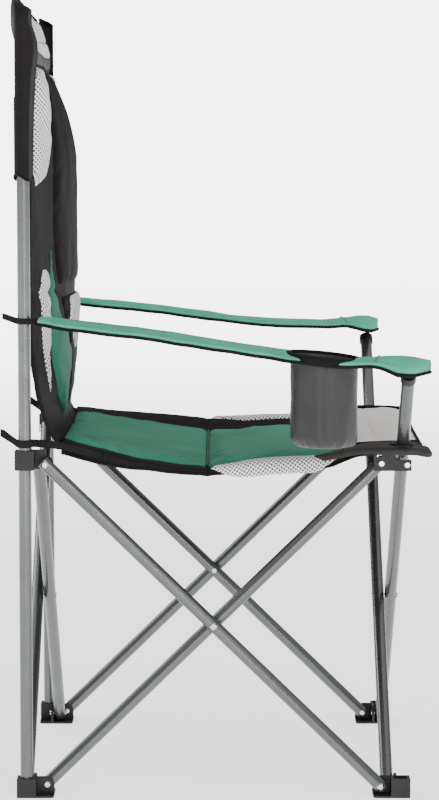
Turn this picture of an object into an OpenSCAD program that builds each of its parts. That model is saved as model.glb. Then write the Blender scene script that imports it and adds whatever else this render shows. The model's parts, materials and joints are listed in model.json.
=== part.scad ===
// Folding camp chair: a four-sided scissor frame of steel tube with a padded
// sling seat and back, fabric armrests and a cup holder. Millimetres, +X is
// the way the sitter faces, +Z is up, and the origin is on the floor under
// the middle of the chair.

/* [Frame] */
// Outside diameter of every frame tube
tube_d = 18; // [15:0.5:22]
// Wall thickness of every frame tube
tube_wall = 1.1; // [0.8:0.1:2]
// Distance between neighbouring corner pivots, the same on all four faces
pivot_span = 470; // [390:5:565]
// Height of the leg pivots in the feet
foot_pivot_h = 15.5; // [15:0.5:20]
// Height of the leg pivots in the collars and front brackets
seat_pivot_h = 472; // [394:2:566]
// Distance of the middle of the frame behind the origin
frame_back = 9; // [0:1:20]
// Height of the tops of the uprights
upright_h = 1086; // [930:2:1300]
// Height of the tops of the front arm tubes
arm_tip_h = 603; // [560:1:720]

/* [Joints] */
// Diameter of the pivot rivets
rivet_d = 5; // [4:0.5:6]
// Diameter of the rivet heads
rivet_head_d = 10; // [8:0.5:12]
// Thickness of the rivet heads
rivet_head_t = 2; // [1.5:0.1:3]
// Thickness of the ears on the feet, collars and brackets
ear_t = 4; // [3:0.5:5]
// Wall of the sockets and collars around the uprights
socket_wall = 4.5; // [3:0.5:6]
// Height of the feet
foot_h = 27; // [26:1:32]
// Thickness of the plate under a foot
foot_plate_t = 3; // [2:0.5:3]

/* [Clearances] */
// Gap between a tube and the tube or ear beside it
side_gap = 0.6; // [0.4:0.1:1]
// Radial clearance of a rivet in its hole
rivet_gap = 0.05; // [0.02:0.01:0.1]
// Radial clearance of a collar sliding on an upright
slide_gap = 0.4; // [0.3:0.05:0.6]
// Gap between a fabric piece and the piece beside it
fabric_gap = 0.5; // [0.3:0.1:1]

/* [Seat] */
// Length of the seat from its back edge to its front edge
seat_l = 508; // [412:4:610]
// Share of the seat length behind the cross seam
seat_seam_share = 0.39; // [0.3:0.01:0.6]
// Distance of the seat's front edge in front of the front pivots
seat_front_out = 66; // [50:1:75]
// Thickness of the seat padding
seat_t = 14; // [10:1:18]
// Height of the top of the seat above the seat pivots, at its edges
seat_rise = 20; // [20:1:30]
// How far the middle of the seat sags below its edges
seat_sag = 16; // [0:1:20]

/* [Back] */
// Height of the underside of the back panel above the seat pivots
back_foot_rise = 62; // [45:1:80]
// Height of the back's upper corners above the uprights
back_rise = 24; // [6:1:30]
// Height of the middle of the back's top edge above its corners
back_crown = 26; // [0:1:40]
// Thickness of the back padding in the middle
back_t = 30; // [20:1:40]
// How far the middle of the back stands in front of the uprights
back_bulge = 58; // [40:1:75]
// Length of the fabric sleeves over the tops of the uprights
sleeve_l = 228; // [190:2:280]
// Thickness of the sleeve fabric
sleeve_t = 2.5; // [1.5:0.1:4]

/* [Arms] */
// Height of the arm at the upright
arm_rear_h = 672; // [660:2:800]
// Width of the arm behind the cup holder
arm_w = 66; // [50:1:80]
// Thickness of the arm padding
arm_t = 10; // [6:1:14]
// Length of the arm that runs on past the arm tube
arm_overhang = 36; // [25:1:45]
// Height of the fabric loops around the uprights
loop_h = 14; // [10:1:20]

/* [Cup holder] */
// Inside diameter of the cup holder
cup_d = 88; // [73:1:106]
// Depth of the cup holder below the arm
cup_depth = 126; // [105:1:151]
// Thickness of the cup holder fabric
cup_wall = 2; // [1:0.1:3]
// Width of the fabric of the arm around the cup holder
cup_border = 14; // [10:1:20]
// Width of the plastic ring in the rim
cup_ring_w = 5; // [3:0.5:7]
// Distance of the cup holder behind the arm tube, along the arm
cup_back = 117; // [105:1:150]

/* [Hidden] */

// Corners are numbered 0 right rear, 1 right front, 2 left front, 3 left rear.
// Face k runs from corner k to corner k + 1, so 0 is right, 1 front, 2 left
// and 3 rear. Every face is face 0 turned by a quarter turn.
tube_r = tube_d / 2;
bore_r = tube_r - tube_wall;
rivet_r = rivet_d / 2;
rivet_head_r = rivet_head_d / 2;
rivet_hole_r = rivet_r + rivet_gap;
half_span = pivot_span / 2;
leg_rise = seat_pivot_h - foot_pivot_h;
leg_l = sqrt(pow(pivot_span, 2) + pow(leg_rise, 2));
leg_lean = atan2(pivot_span, leg_rise);
plug_head_t = 1.5;
plug_l = 2.3;
leg_end = 5;

// Distances outside the corner pivots: inner leg, outer leg and upright
inner_out = tube_r + 1.7;
outer_out = inner_out + tube_d + side_gap;
post_out = outer_out - side_gap - 0.2;
ear_outside = inner_out + tube_r + side_gap;
ear_inside = outer_out - tube_r - side_gap - ear_t;
block_in = post_out - tube_r - socket_wall;
block_out = post_out + tube_r + socket_wall;
ear_r = 10.5;
small_ear_r = 6.8;

post_x = -frame_back - half_span - post_out;
post_y = half_span + post_out;
collar_low = -8;
collar_high = 19;
bracket_low = -10.5;
bracket_high = 15;
foot_in = 10;

// Tops of the arm tubes: the right one is the outer leg of the front face
arm_tip_y = half_span + (arm_tip_h - seat_pivot_h) * tan(leg_lean);
right_tip_x = -frame_back + half_span + outer_out;
left_tip_x = -frame_back + half_span + inner_out;
cap_t = 4;
cap_cover = 8;
arm_front_h = arm_tip_h + cap_t + tube_r * sin(leg_lean) + arm_t / 2 + 1;

seat_half_w = half_span - foot_in - 3;
seat_front_x = -frame_back + half_span + seat_front_out;
seat_rear_x = seat_front_x - seat_l;
seat_seam_x = seat_rear_x + seat_l * seat_seam_share;
seat_top = seat_pivot_h + seat_rise;
seat_curl = 12;
front_neck_x = -frame_back + half_span - 6;
neck_half_w = seat_half_w - tube_r - 13;
corner_t = 9;
corner_base = seat_pivot_h + bracket_high + fabric_gap;
strap_h = 16;
strap_base = seat_pivot_h + collar_high + 1.5;

back_half_w = post_y - tube_r - sleeve_t - slide_gap - fabric_gap - 6;
back_low = seat_pivot_h + back_foot_rise;
back_high = upright_h + back_rise;
hook_l = 13;

cup_r = cup_d / 2;
cup_floor_t = 2;
lip_t = 1;
round_fn = 64;
soft_fn = 32;

module at_face(k) translate([-frame_back, 0, 0]) rotate([0, 0, 90 * k]) children();

// Puts the pivots of corner k at the origin: +X and +Y both point outwards,
// +X past face k - 1 and +Y past face k.
module at_corner(k)
    translate([-frame_back, 0, 0])
        rotate([0, 0, 90 * k])
            translate([-half_span, -half_span, 0])
                rotate([0, 0, 180])
                    children();

module swap_xy() mirror([1, -1, 0]) children();

// ---- frame tubes ----

// A leg of face k in its own line: lean is 1 for the outer leg, whose top is
// at corner k, and -1 for the inner leg, whose top is at corner k + 1.
module on_leg(k, lean) {
    side = half_span + (lean > 0 ? outer_out : inner_out);
    at_face(k)
        translate([lean * half_span, -side, foot_pivot_h])
            rotate([0, -lean * leg_lean, 0])
                children();
}

// Length of the front legs from the foot pivot to the top of the arm tube
front_leg_l = (arm_tip_h - foot_pivot_h) / cos(leg_lean);

module leg(k, lean, top) {
    color("#6b6e70")
        on_leg(k, lean)
            difference() {
                translate([0, 0, -leg_end]) cylinder(h = top + leg_end, r = tube_r, $fn = round_fn);
                translate([0, 0, -leg_end - 1]) cylinder(h = top + leg_end + 2, r = bore_r, $fn = round_fn);
                for (z = [0, leg_l / 2, leg_l])
                    translate([0, 0, z])
                        rotate([90, 0, 0])
                            cylinder(h = tube_d + 2, r = rivet_hole_r, center = true, $fn = soft_fn);
            }
}

// Plastic plug in the end of a tube: a shank in the bore and a flat head
module end_plug() {
    cylinder(h = plug_l, r = bore_r, $fn = round_fn);
    translate([0, 0, -plug_head_t]) cylinder(h = plug_head_t, r = tube_r, $fn = round_fn);
}

module leg_plugs(k, lean, both) {
    color("#1c1c1e")
        on_leg(k, lean) {
            translate([0, 0, -leg_end]) end_plug();
            if (both) translate([0, 0, leg_l + leg_end]) mirror([0, 0, 1]) end_plug();
        }
}

// Cap over the top of an arm tube
module arm_tube_cap(k, lean) {
    color("#1c1c1e")
        on_leg(k, lean)
            translate([0, 0, front_leg_l])
                difference() {
                    translate([0, 0, -cap_cover])
                        cylinder(h = cap_cover + cap_t, r = tube_r + 1.5, $fn = round_fn);
                    translate([0, 0, -cap_cover - 1])
                        cylinder(h = cap_cover + 1, r = tube_r + 0.05, $fn = round_fn);
                }
}

module upright(side) {
    color("#6b6e70")
        translate([post_x, side * post_y, foot_plate_t])
            difference() {
                cylinder(h = upright_h - foot_plate_t, r = tube_r, $fn = round_fn);
                translate([0, 0, -1]) cylinder(h = upright_h, r = bore_r, $fn = round_fn);
            }
}

module upright_cap(side) {
    color("#1c1c1e")
        translate([post_x, side * post_y, upright_h])
            mirror([0, 0, 1]) end_plug();
}

// ---- feet, collars and brackets ----

// Outline of an ear in the plane of its leg, with the pivot at the origin
module ear_outline(r, reach, low, high) {
    circle(r = r, $fn = soft_fn);
    translate([0, low]) square([reach, high - low]);
    translate([-r, low]) square([r, -low]);
}

// Plate with its outline in X and Z, from y0 to y0 + t
module upright_plate(y0, t) {
    translate([0, y0 + t, 0]) rotate([90, 0, 0]) linear_extrude(t) children();
}

module rounded_square(size, r) {
    translate([r, 0]) square([size - 2 * r, size]);
    translate([0, r]) square([size, size - 2 * r]);
    for (x = [r, size - r], y = [r, size - r]) translate([x, y]) circle(r = r, $fn = soft_fn);
}

// Hole for a rivet that runs along Y through everything at the pivot
module rivet_hole(z) {
    translate([0, block_out + 10, z])
        rotate([90, 0, 0])
            cylinder(h = block_out + foot_in + 20, r = rivet_hole_r, $fn = soft_fn);
}

module foot(k, has_post) {
    size = block_out + foot_in;
    block = block_out - block_in;
    color("#1c1c1e")
        at_corner(k)
            difference() {
                union() {
                    translate([-foot_in, -foot_in, 0])
                        linear_extrude(foot_plate_t) rounded_square(size, 5);
                    translate([block_in, block_in, 0]) cube([block, block, foot_h]);
                    upright_plate(ear_outside, ear_t)
                        translate([0, foot_pivot_h])
                            ear_outline(foot_in, block_in + 1, -foot_pivot_h, foot_h - foot_pivot_h);
                    swap_xy()
                        upright_plate(ear_inside, ear_t)
                            translate([0, foot_pivot_h])
                                ear_outline(foot_in, block_in + 1, -foot_pivot_h, foot_h - foot_pivot_h);
                }
                if (has_post)
                    translate([post_out, post_out, foot_plate_t])
                        cylinder(h = foot_h, r = tube_r + rivet_gap, $fn = round_fn);
                else
                    translate([block_in + socket_wall, block_in + socket_wall, foot_plate_t])
                        cube([tube_d, tube_d, foot_h]);
                rivet_hole(foot_pivot_h);
                swap_xy() rivet_hole(foot_pivot_h);
            }
}

// Ears that hold the tops of two legs, in the frame of corner k: the outer leg
// of face k outside one ear, and the inner leg of face k - 1 inside the other
module bracket_ears(low, high, notch) {
    reach = ear_outside + ear_t;
    swap_xy() {
        upright_plate(ear_outside, ear_t) ear_outline(foot_in, reach - ear_t - side_gap, low, high);
    }
    upright_plate(ear_inside, ear_t) {
        circle(r = notch ? small_ear_r : ear_r, $fn = soft_fn);
        translate([-small_ear_r, low]) square([small_ear_r + reach, -1 - low]);
        if (!notch) translate([0, low]) square([reach, high - low]);
    }
    translate([ear_outside, ear_inside, low]) cube([ear_t, ear_t, (notch ? -1 : high) - low]);
}

module collar(k) {
    block = block_out - block_in;
    color("#1c1c1e")
        at_corner(k)
            translate([0, 0, seat_pivot_h])
                difference() {
                    union() {
                        bracket_ears(collar_low, collar_high, false);
                        translate([block_in, block_in, collar_low])
                            cube([block, block, collar_high - collar_low]);
                    }
                    translate([post_out, post_out, collar_low - 1])
                        cylinder(h = collar_high - collar_low + 2, r = tube_r + slide_gap, $fn = round_fn);
                    rivet_hole(0);
                    swap_xy() rivet_hole(0);
                }
}

// Front bracket: its long outer ear also takes the rivet of the seat corner
module front_bracket(k) {
    tail = 5;
    color("#1c1c1e")
        at_corner(k)
            translate([0, 0, seat_pivot_h])
                difference() {
                    union() {
                        bracket_ears(bracket_low, bracket_high, true);
                        translate([ear_outside, ear_inside, bracket_low])
                            cube([ear_t, block_out - ear_inside, tail - bracket_low]);
                    }
                    rivet_hole(0);
                    swap_xy() rivet_hole(0);
                    swap_xy() translate([block_out - 6, 0, -2]) rivet_hole(0);
                }
}

// ---- rivets ----

// Rivet along Y from y0 to y1, with a broad head beyond y1 and a set head
// below y0
module rivet(y0, y1) {
    set_head_t = 1.2;
    translate([0, y1 + rivet_head_t, 0])
        rotate([90, 0, 0]) {
            cylinder(h = y1 - y0 + rivet_head_t + set_head_t, r = rivet_r, $fn = soft_fn);
            cylinder(h = rivet_head_t, r1 = rivet_head_r * 0.7, r2 = rivet_head_r, $fn = soft_fn);
            translate([0, 0, y1 - y0 + rivet_head_t])
                cylinder(h = set_head_t, r = rivet_head_r - 1.5, $fn = soft_fn);
        }
}

module foot_rivets(k) {
    color("silver")
        at_corner(k)
            translate([0, 0, foot_pivot_h]) {
                rivet(inner_out - tube_r, ear_outside + ear_t);
                swap_xy() rivet(ear_inside, outer_out + tube_r);
            }
}

module top_rivets(k, seat_rivet) {
    color("silver")
        at_corner(k)
            translate([0, 0, seat_pivot_h]) {
                rivet(ear_inside, outer_out + tube_r);
                swap_xy() rivet(inner_out - tube_r, ear_outside + ear_t);
                if (seat_rivet)
                    swap_xy() translate([block_out - 6, 0, -2]) rivet(ear_outside, ear_outside + ear_t);
            }
}

module cross_rivet(k) {
    color("silver")
        at_face(k)
            translate([0, 0, foot_pivot_h + leg_rise / 2])
                rotate([0, 0, 180])
                    rivet(half_span + inner_out - tube_r, half_span + outer_out + tube_r);
}

// ---- seat ----

// Height of the seat's top along its length
function seat_line(x) =
    let (t = (x - seat_rear_x) / seat_l)
    seat_top + seat_curl * pow(1 - t, 3) - seat_sag * 4 * t * (1 - t) * (1 - t / 3);

// Side view of the seat between two places along its length
module seat_side(x0, x1) {
    steps = 10;
    xs = [for (i = [0:steps]) x0 + (x1 - x0) * i / steps];
    polygon(concat(
        [for (x = xs) [x, seat_line(x)]],
        [for (i = [steps:-1:0]) [xs[i], seat_line(xs[i]) - seat_t]]
    ));
}

// Plan of the seat: it narrows in front, between the arm tubes
module seat_plan() {
    translate([seat_rear_x, -seat_half_w]) square([front_neck_x - seat_rear_x, 2 * seat_half_w]);
    translate([front_neck_x - 1, -neck_half_w]) square([seat_front_x - front_neck_x + 1, 2 * neck_half_w]);
}

module seat_part(x0, x1) {
    color("#2f7d5f")
        intersection() {
            translate([0, seat_half_w + 1, 0])
                rotate([90, 0, 0]) linear_extrude(2 * seat_half_w + 2) seat_side(x0, x1);
            linear_extrude(2 * seat_top) seat_plan();
        }
}

module seat_rear() seat_part(seat_rear_x, seat_seam_x - fabric_gap / 2);
module seat_front() seat_part(seat_seam_x + fabric_gap / 2, seat_front_x);

// Fabric corner that lies on a front bracket, with a hole for the arm tube
module seat_corner(k, lean) {
    corner_l = block_out + 12;
    color("#1c1c1e")
        difference() {
            at_corner(k)
                translate([0, 0, corner_base])
                    linear_extrude(corner_t)
                        translate([-1, -1]) rounded_square(corner_l, 8);
            on_leg(1, lean) cylinder(h = front_leg_l, r = tube_r + 1.5, $fn = round_fn);
        }
}

// Webbing from the seat's rear corner around the upright, above the collar,
// with its sewn end standing out behind
module seat_strap(k) {
    loop_r = tube_r + slide_gap + 2;
    tape_t = 4;
    color("#1c1c1e")
        at_corner(k)
            translate([post_out, post_out, strap_base])
                linear_extrude(strap_h)
                    difference() {
                        union() {
                            circle(r = loop_r, $fn = round_fn);
                            translate([0, -tape_t / 2]) square([loop_r + hook_l - 2, tape_t]);
                            rotate(225) translate([0, -tape_t / 2]) square([post_out * 1.35, tape_t]);
                        }
                        circle(r = tube_r + slide_gap, $fn = round_fn);
                    }
}

// ---- back ----

// Place of the middle of the back's front face, as a share of back_bulge, at
// a share of its height
back_shape = [[0, 0.76], [0.15, 0.96], [0.35, 1], [0.62, 1], [0.75, 0.86], [0.88, 0.42], [1, 0]];

function back_front(y, t) =
    let (edge = 1 - pow(abs(y) / back_half_w, 2))
    post_x + 10 + (back_bulge - 10) * lookup(t, back_shape) * edge;

function back_height(y, t) =
    back_low + t * (back_high + back_crown * (1 - pow(y / back_half_w, 2)) - back_low);

function back_depth(y) = 6 + (back_t - 6) * (1 - pow(abs(y) / back_half_w, 4));

// The padded panel as one closed shell on a grid of columns and rows
module backrest() {
    cols = 16;
    rows = 20;
    ys = [for (i = [0:cols]) back_half_w * (2 * i / cols - 1)];
    front = [for (j = [0:rows], y = ys) [back_front(y, j / rows), y, back_height(y, j / rows)]];
    rear = [for (p = front) [p[0] - back_depth(p[1]), p[1], p[2]]];
    n = (cols + 1) * (rows + 1);
    rim = concat(
        [for (i = [0:cols - 1]) i],
        [for (j = [0:rows - 1]) j * (cols + 1) + cols],
        [for (i = [cols:-1:1]) rows * (cols + 1) + i],
        [for (j = [rows:-1:1]) j * (cols + 1)]
    );
    quads = [for (j = [0:rows - 1], i = [0:cols - 1])
        let (a = j * (cols + 1) + i)
        [a, a + 1, a + cols + 2, a + cols + 1]];
    color("#1c1c1e")
        polyhedron(
            points = concat(front, rear),
            faces = concat(
                [for (q = quads) for (f = [[q[0], q[2], q[1]], [q[0], q[3], q[2]]]) f],
                [for (q = quads) for (f = [[q[0], q[1], q[2]], [q[0], q[2], q[3]]]) [for (v = f) v + n]],
                [for (i = [0:len(rim) - 1])
                    let (a = rim[i], b = rim[(i + 1) % len(rim)])
                    for (f = [[a, b, b + n], [a, b + n, a + n]]) f]
            )
        );
}

// Fabric pocket over the top of an upright, with a web towards the panel
module back_sleeve(side) {
    inner_r = tube_r + slide_gap;
    outer_r = inner_r + sleeve_t;
    web = post_y - outer_r - back_half_w - fabric_gap;
    color("#1c1c1e")
        translate([post_x, side * post_y, upright_h - sleeve_l])
            difference() {
                union() {
                    cylinder(h = sleeve_l + 8, r = outer_r, $fn = round_fn);
                    translate([-3, side > 0 ? -outer_r - web : 0, 0]) cube([6, outer_r + web, sleeve_l]);
                }
                translate([0, 0, -1]) cylinder(h = sleeve_l + 4, r = inner_r, $fn = round_fn);
            }
}

// ---- arms ----

function arm_plan_l(tip_x) = sqrt(pow(tip_x - post_x, 2) + pow(arm_tip_y - post_y, 2));

// Frame of an arm: origin at the upright, +X along the arm to the arm tube,
// +Y outwards on the right side. The left arm is mirrored.
module on_arm(side, tip_x) {
    yaw = atan2(arm_tip_y - post_y, tip_x - post_x);
    drop = atan2(arm_rear_h - arm_front_h, arm_plan_l(tip_x));
    mirror([0, side > 0 ? 0 : 1, 0])
        translate([post_x, post_y, arm_rear_h])
            rotate([0, 0, yaw])
                rotate([0, drop, 0])
                    translate([0, 0, -arm_t / 2])
                        children();
}

function arm_l(tip_x) = sqrt(pow(arm_plan_l(tip_x), 2) + pow(arm_rear_h - arm_front_h, 2));
arm_start = tube_r + 9;
arm_tip_r = 40;

module arm_rear(side, tip_x) {
    color("#2f7d5f")
        on_arm(side, tip_x)
            linear_extrude(arm_t)
                polygon([
                    [arm_start, -12],
                    [arm_start + 50, -arm_w / 2],
                    [arm_l(tip_x) / 2 - fabric_gap / 2, -arm_w / 2],
                    [arm_l(tip_x) / 2 - fabric_gap / 2, arm_w / 2],
                    [arm_start + 50, arm_w / 2],
                    [arm_start, 12],
                ]);
}

module arm_front(side, tip_x, has_cup) {
    l = arm_l(tip_x);
    cup_x = l - cup_back;
    wide = has_cup ? cup_r + cup_wall + cup_ring_w + cup_border : arm_w / 2;
    color("#2f7d5f")
        difference() {
            on_arm(side, tip_x)
                linear_extrude(arm_t) {
                    hull() {
                        translate([l / 2 + fabric_gap / 2, -arm_w / 2]) square([1, arm_w]);
                        translate([cup_x, 0]) circle(r = wide, $fn = soft_fn);
                    }
                    hull() {
                        translate([cup_x, 0]) circle(r = arm_w / 2, $fn = soft_fn);
                        translate([l + arm_overhang - arm_tip_r, 0]) circle(r = arm_tip_r, $fn = soft_fn);
                    }
                }
            if (has_cup)
                at_cup()
                    translate([0, 0, -cup_depth])
                        cylinder(h = 2 * cup_depth, r = cup_r + cup_wall + fabric_gap, $fn = round_fn);
        }
}

// Webbing loop around an upright at the rear end of an arm
module arm_loop(side) {
    inner_r = tube_r + slide_gap;
    tape_t = 4;
    color("#1c1c1e")
        translate([post_x, side * post_y, arm_rear_h - loop_h / 2])
            linear_extrude(loop_h)
                difference() {
                    union() {
                        circle(r = inner_r + 2, $fn = round_fn);
                        translate([-inner_r - hook_l, -tape_t / 2]) square([inner_r + hook_l, tape_t]);
                        translate([0, -tape_t]) square([arm_start - 1, 2 * tape_t]);
                    }
                    circle(r = inner_r, $fn = round_fn);
                }
}

// ---- cup holder ----

// Frame on the top of the arm at the middle of the cup holder, along the arm
module on_cup_rim() on_arm(-1, right_tip_x) translate([arm_l(right_tip_x) - cup_back, 0, arm_t]) children();

// The same place, but upright: the cup hangs straight down
module at_cup() {
    along = arm_l(right_tip_x) - cup_back;
    yaw = atan2(arm_tip_y - post_y, right_tip_x - post_x);
    drop = atan2(arm_rear_h - arm_front_h, arm_plan_l(right_tip_x));
    out = along * cos(drop) + arm_t / 2 * sin(drop);
    translate([
        post_x + out * cos(yaw),
        -post_y - out * sin(yaw),
        arm_rear_h - along * sin(drop) + arm_t / 2 * cos(drop)
    ])
        children();
}

module cup_holder() {
    outer_r = cup_r + cup_wall;
    color("#3a3b3d")
        difference() {
            union() {
                at_cup()
                    translate([0, 0, -cup_depth - cup_floor_t])
                        cylinder(h = cup_depth + cup_floor_t, r = outer_r, $fn = round_fn);
                on_cup_rim() cylinder(h = lip_t, r = outer_r + cup_ring_w, $fn = round_fn);
            }
            at_cup() translate([0, 0, -cup_depth]) cylinder(h = 2 * cup_depth, r = cup_r, $fn = round_fn);
            on_cup_rim() translate([0, 0, lip_t]) cylinder(h = cup_d, r = cup_d, $fn = round_fn);
        }
}

module cup_ring() {
    color("#1c1c1e")
        on_cup_rim()
            rotate_extrude($fn = round_fn)
                translate([cup_r + cup_wall + cup_ring_w / 2, lip_t + cup_ring_w / 2])
                    circle(r = cup_ring_w / 2, $fn = soft_fn);
}

upright(-1);  // right_upright
upright(1);  // left_upright
upright_cap(-1);  // upright_caps_right
upright_cap(1);  // upright_caps_left
foot(0, true);  // right_rear_foot
foot(1, false);  // right_front_foot
foot(2, false);  // left_front_foot
foot(3, true);  // left_rear_foot
leg(0, 1, leg_l + leg_end);  // right_leg_outer
leg(0, -1, leg_l + leg_end);  // right_leg_inner
leg(1, 1, front_leg_l);  // front_leg_outer
leg(1, -1, front_leg_l);  // front_leg_inner
leg(2, 1, leg_l + leg_end);  // left_leg_outer
leg(2, -1, leg_l + leg_end);  // left_leg_inner
leg(3, 1, leg_l + leg_end);  // rear_leg_outer
leg(3, -1, leg_l + leg_end);  // rear_leg_inner
leg_plugs(0, 1, true);  // right_leg_outer_plugs
leg_plugs(0, -1, true);  // right_leg_inner_plugs
leg_plugs(1, 1, false);  // front_leg_outer_plug
leg_plugs(1, -1, false);  // front_leg_inner_plug
leg_plugs(2, 1, true);  // left_leg_outer_plugs
leg_plugs(2, -1, true);  // left_leg_inner_plugs
leg_plugs(3, 1, true);  // rear_leg_outer_plugs
leg_plugs(3, -1, true);  // rear_leg_inner_plugs
collar(0);  // right_collar
front_bracket(1);  // right_front_bracket
front_bracket(2);  // left_front_bracket
collar(3);  // left_collar
cross_rivet(0);  // right_cross_rivet
cross_rivet(1);  // front_cross_rivet
cross_rivet(2);  // left_cross_rivet
cross_rivet(3);  // rear_cross_rivet
foot_rivets(0);  // right_rear_foot_rivets
foot_rivets(1);  // right_front_foot_rivets
foot_rivets(2);  // left_front_foot_rivets
foot_rivets(3);  // left_rear_foot_rivets
top_rivets(0, false);  // right_collar_rivets
top_rivets(1, true);  // right_front_bracket_rivets
top_rivets(2, true);  // left_front_bracket_rivets
top_rivets(3, false);  // left_collar_rivets
arm_tube_cap(1, 1);  // right_arm_tube_cap
arm_tube_cap(1, -1);  // left_arm_tube_cap
seat_rear();
seat_front();
seat_corner(1, 1);  // right_seat_corner
seat_corner(2, -1);  // left_seat_corner
seat_strap(0);  // right_seat_strap
seat_strap(3);  // left_seat_strap
backrest();
back_sleeve(-1);  // right_back_sleeve
back_sleeve(1);  // left_back_sleeve
arm_loop(-1);  // right_arm_loop
arm_loop(1);  // left_arm_loop
arm_rear(-1, right_tip_x);  // right_arm_rear
arm_front(-1, right_tip_x, true);  // right_arm_front
arm_rear(1, left_tip_x);  // left_arm_rear
arm_front(1, left_tip_x, false);  // left_arm_front
cup_holder();
cup_ring();
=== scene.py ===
"""Looks of the folding camp chair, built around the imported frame.

Metres, in the frame's own axes: +X is the way the sitter faces, +Y is to the
sitter's left and +Z is up. The right side, with the cup holder, is at -Y.
"""
import json
import math
from functools import partial

import bmesh
import bpy
import numpy as np
from mathutils import Matrix, Vector, noise


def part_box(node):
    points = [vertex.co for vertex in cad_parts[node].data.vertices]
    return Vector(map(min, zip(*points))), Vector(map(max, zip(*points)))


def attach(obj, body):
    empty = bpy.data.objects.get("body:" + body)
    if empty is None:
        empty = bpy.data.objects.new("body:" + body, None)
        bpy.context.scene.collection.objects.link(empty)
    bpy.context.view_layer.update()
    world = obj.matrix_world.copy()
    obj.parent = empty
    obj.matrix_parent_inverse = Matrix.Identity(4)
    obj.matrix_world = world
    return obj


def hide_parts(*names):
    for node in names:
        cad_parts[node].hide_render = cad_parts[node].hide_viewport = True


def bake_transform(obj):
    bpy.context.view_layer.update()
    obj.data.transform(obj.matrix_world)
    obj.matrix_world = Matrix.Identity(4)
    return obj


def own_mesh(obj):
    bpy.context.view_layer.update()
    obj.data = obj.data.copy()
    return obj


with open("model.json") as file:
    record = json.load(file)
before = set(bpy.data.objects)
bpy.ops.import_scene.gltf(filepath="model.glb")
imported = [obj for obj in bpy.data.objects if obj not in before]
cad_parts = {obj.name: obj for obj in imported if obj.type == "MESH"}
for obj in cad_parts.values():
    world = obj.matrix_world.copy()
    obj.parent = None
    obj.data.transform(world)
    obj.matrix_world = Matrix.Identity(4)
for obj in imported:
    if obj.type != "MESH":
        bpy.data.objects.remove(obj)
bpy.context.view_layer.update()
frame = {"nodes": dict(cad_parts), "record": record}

# ---- places and sizes taken from the frame ----

post_lo, post_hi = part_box("left_upright")
POST_X = (post_lo.x + post_hi.x) / 2
POST_Y = (post_lo.y + post_hi.y) / 2
TUBE_R = (post_hi.x - post_lo.x) / 2
POST_TOP = post_hi.z
BACK_HALF_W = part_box("backrest")[1].y
seat_rear_lo, seat_rear_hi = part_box("seat_rear")
SEAT_X0 = seat_rear_lo.x
SEAM_X = seat_rear_hi.x
SEAT_X1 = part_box("seat_front")[1].x
SEAT_HALF_W = seat_rear_hi.y
RIGHT, LEFT = -1, 1
SIDE_NAMES = {RIGHT: "right", LEFT: "left"}
SEAT_KEEP = 0.15
BACK_KEEP = 0.24
SEAM_LAP = 0.0010


# ---- small maths ----

def smooth_line(points):
    """A smooth function through (place, value) points that never overshoots them."""
    xs = np.array([p[0] for p in points], float)
    ys = np.array([p[1] for p in points], float)
    slopes = np.diff(ys) / np.diff(xs)
    tangents = np.zeros(len(xs))
    tangents[0], tangents[-1] = slopes[0], slopes[-1]
    for i in range(1, len(xs) - 1):
        before, after = slopes[i - 1], slopes[i]
        if before * after > 0:
            tangents[i] = 2 * before * after / (before + after)

    def value(x):
        x = min(max(x, xs[0]), xs[-1])
        i = min(int(np.searchsorted(xs, x, "right")) - 1, len(xs) - 2)
        h = xs[i + 1] - xs[i]
        t = (x - xs[i]) / h
        return float(
            ys[i] * (1 + 2 * t) * (1 - t) ** 2 + tangents[i] * h * t * (1 - t) ** 2
            + ys[i + 1] * t * t * (3 - 2 * t) + tangents[i + 1] * h * t * t * (t - 1)
        )
    return value


def mix(a, b, t):
    return a + (b - a) * t


def smoothstep(low, high, x):
    t = min(max((x - low) / (high - low), 0), 1)
    return t * t * (3 - 2 * t)


def ripple(x, y, z, size):
    """Smooth noise from -1 to 1 whose lumps are about size across."""
    return noise.noise(Vector((x / size, y / size, z / size)))


def span(low, high, count):
    return [low + (high - low) * i / count for i in range(count + 1)]


def angles(count):
    """Angles round a circle, without the last, which is the first again."""
    return span(0, 2 * math.pi, count)[:-1]


def spoke(angle, reach):
    """A level vector at an angle from +X."""
    return Vector((math.cos(angle), math.sin(angle), 0)) * reach


def on_side(line, side):
    """The line's distance from the middle plane, as a place on one side of it."""
    return lambda place: side * line(place)


def box_middle(name):
    """Middle of a CAD node's box."""
    return [(low + high) / 2 for low, high in zip(*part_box(name))]


# ---- materials ----

def new_material(name, color, roughness, metallic=0.0):
    """A material with its tree, its shader and its texture coordinates."""
    material = bpy.data.materials.new(name)
    material.use_nodes = True
    tree = material.node_tree
    shader = tree.nodes["Principled BSDF"]
    shader.inputs["Base Color"].default_value = (*color, 1)
    shader.inputs["Roughness"].default_value = roughness
    shader.inputs["Metallic"].default_value = metallic
    return material, tree, shader, tree.nodes.new("ShaderNodeTexCoord")


def node(tree, kind, **values):
    made = tree.nodes.new(kind)
    for key, value in values.items():
        if hasattr(made, key):
            setattr(made, key, value)
        else:
            made.inputs[key.replace("_", " ")].default_value = value
    return made


def link(tree, a, a_out, b, b_in):
    tree.links.new(a.outputs[a_out], b.inputs[b_in])


def tint(tree, shader, source, output, stops, socket="Base Color"):
    """Sets one socket of a shader from a map, through a ramp of (place, colour) stops."""
    ramp = tree.nodes.new("ShaderNodeValToRGB")
    while len(ramp.color_ramp.elements) < len(stops):
        ramp.color_ramp.elements.new(0.5)
    for element, (place, color) in zip(ramp.color_ramp.elements, stops):
        element.position = place
        element.color = (*color, 1)
    link(tree, source, output, ramp, "Fac")
    link(tree, ramp, "Color", shader, socket)


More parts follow.
